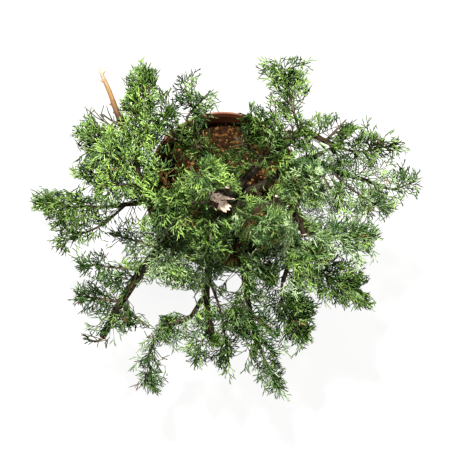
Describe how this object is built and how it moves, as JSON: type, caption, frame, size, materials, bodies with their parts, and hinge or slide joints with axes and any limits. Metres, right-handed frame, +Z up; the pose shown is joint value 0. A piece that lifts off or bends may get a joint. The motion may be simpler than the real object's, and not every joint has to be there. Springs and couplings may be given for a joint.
{
  "type": "potted chinese juniper",
  "caption": "Young Chinese juniper trained wide and low, with a bare dead branch and a torn trunk top, growing in a round brown pot of coarse soil.",
  "frame": {"origin": "middle of the pot's flat underside", "axes": "+Z up the pot's axis; +Y towards the back, which is the picture's upper edge; +X to the picture's right. The pot is round about +Z, the plant has no symmetry"},
  "size_m": [0.4765, 0.4196, 0.4023],
  "materials": {
    "pot": "matte",
    "soil": "matte",
    "bark": "matte",
    "deadwood": "matte",
    "foliage": "matte"
  },
  "bodies": {
    "root": {"pot": "pot", "soil": "soil", "trunk": "bark", "bough_back_left": "bark", "bough_left": "bark", "bough_left_front": "bark", "bough_front": "bark", "bough_front_left": "bark", "bough_front_right": "bark", "bough_right_front": "bark", "bough_right_low": "bark", "bough_right_back": "bark", "bough_right": "bark", "bough_back": "bark", "jin": "deadwood", "mass_back_left_top": "foliage", "mass_back_left_in": "foliage", "mass_back_left_open": "foliage", "mass_back_rim": "foliage", "mass_left_back": "foliage", "mass_left_back_low": "foliage", "mass_left_far": "foliage", "mass_left_far_low": "foliage", "mass_left_mid": "foliage", "mass_left_low": "foliage", "mass_front_left_out": "foliage", "mass_front_left_in": "foliage", "mass_front_left_end": "foliage", "mass_front_a": "foliage", "mass_front_b": "foliage", "mass_front_c": "foliage", "mass_front_d": "foliage", "mass_front_in": "foliage", "mass_front_e": "foliage", "mass_front_right_in": "foliage", "mass_front_right_low": "foliage", "mass_front_right": "foliage", "mass_right_front": "foliage", "mass_right_mid_low": "foliage", "mass_right_mid": "foliage", "mass_right_back": "foliage", "mass_right_back_up": "foliage", "mass_right_small": "foliage", "mass_right_in": "foliage", "mass_back_right_top": "foliage", "mass_back_right_in": "foliage", "mass_back_low": "foliage", "mass_top_left_a": "foliage", "mass_top_left_b": "foliage", "mass_top_left_c": "foliage", "mass_back_inner": "foliage", "mass_crown": "foliage", "mass_top_right": "foliage", "mass_right_inner": "foliage", "mass_right_low_inner": "foliage", "mass_front_inner": "foliage", "mass_left_inner": "foliage", "mass_front_left_inner": "foliage", "mass_front_mid_inner": "foliage", "mass_front_right_inner": "foliage"}
  },
  "joints": []
}
